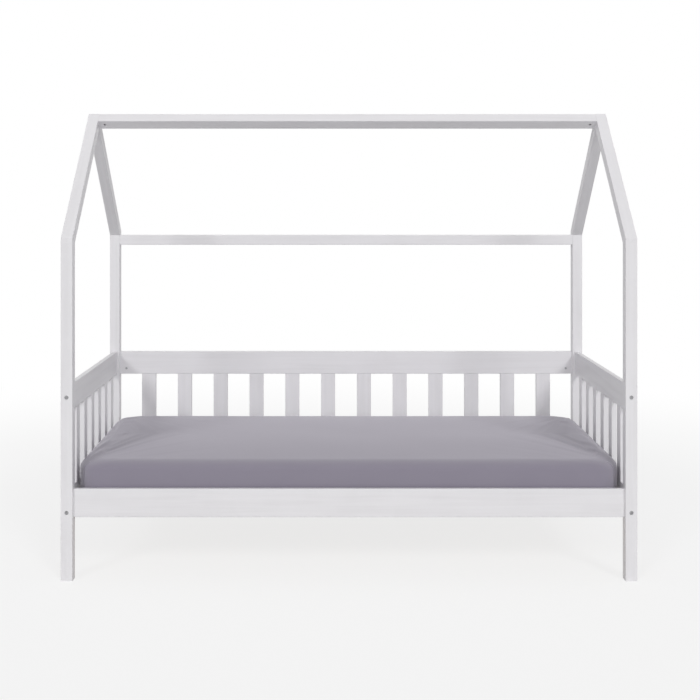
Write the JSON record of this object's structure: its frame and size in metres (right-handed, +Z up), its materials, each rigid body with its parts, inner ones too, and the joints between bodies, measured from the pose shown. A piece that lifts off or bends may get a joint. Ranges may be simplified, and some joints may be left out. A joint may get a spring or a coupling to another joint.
{
  "type": "house frame bed",
  "caption": "Child's low bed in a house-shaped timber frame, with guards on three sides, an open front, a slatted base and a mattress in a fitted sheet.",
  "frame": {"origin": "on the floor under the middle of the bed's footprint", "axes": "+X along the bed to the right as seen from the open front, the open front faces -Y, +Z up"},
  "size_m": [2.096, 0.975, 1.7333],
  "materials": {
    "white_paint": "white satin lacquer on planed softwood",
    "bare_pine": "planed, unfinished",
    "dowel_wood": "fluted beech, unfinished",
    "bolt_steel": "zinc plated",
    "nut_steel": "zinc plated",
    "screw_steel": "yellow zinc plated",
    "webbing": "flat woven band",
    "mattress_cover": "knitted cover over foam",
    "sheet_cloth": "grey-lilac cotton jersey, matt"
  },
  "bodies": {
    "frame": {"back_bottom_rail": "white_paint", "back_guard_slat_01": "white_paint", "back_guard_slat_02": "white_paint", "back_guard_slat_03": "white_paint", "back_guard_slat_04": "white_paint", "back_guard_slat_05": "white_paint", "back_guard_slat_06": "white_paint", "back_guard_slat_07": "white_paint", "back_guard_slat_08": "white_paint", "back_guard_slat_09": "white_paint", "back_guard_slat_10": "white_paint", "back_guard_slat_11": "white_paint", "back_guard_slat_12": "white_paint", "back_guard_top_rail": "white_paint", "back_ledge": "bare_pine", "back_left_post": "white_paint", "back_left_rafter": "white_paint", "back_right_post": "white_paint", "back_right_rafter": "white_paint", "barrel_nuts": "nut_steel", "bed_slats": "bare_pine", "dowels": "dowel_wood", "eave_beam": "white_paint", "front_ledge": "bare_pine", "front_left_post": "white_paint", "front_left_rafter": "white_paint", "front_rail": "white_paint", "front_right_post": "white_paint", "front_right_rafter": "white_paint", "guard_post_bolts": "bolt_steel", "ledge_screws": "screw_steel", "left_guard_bottom_rail": "white_paint", "left_guard_slat_1": "white_paint", "left_guard_slat_2": "white_paint", "left_guard_slat_3": "white_paint", "left_guard_slat_4": "white_paint", "left_guard_slat_5": "white_paint", "left_guard_slat_6": "white_paint", "left_guard_top_rail": "white_paint", "rail_post_bolts": "bolt_steel", "ridge_beam": "white_paint", "ridge_bolts": "bolt_steel", "right_guard_bottom_rail": "white_paint", "right_guard_slat_1": "white_paint", "right_guard_slat_2": "white_paint", "right_guard_slat_3": "white_paint", "right_guard_slat_4": "white_paint", "right_guard_slat_5": "white_paint", "right_guard_slat_6": "white_paint", "right_guard_top_rail": "white_paint", "slat_screws": "screw_steel", "slat_webbing": "webbing"},
    "mattress": {"mattress_core": "mattress_cover", "fitted_sheet": "sheet_cloth"}
  },
  "joints": [
    {"name": "mattress_lift", "type": "slide", "parent": "frame", "child": "mattress", "axis": [0, 0, 1], "range_m": [0, 0.45]}
  ]
}
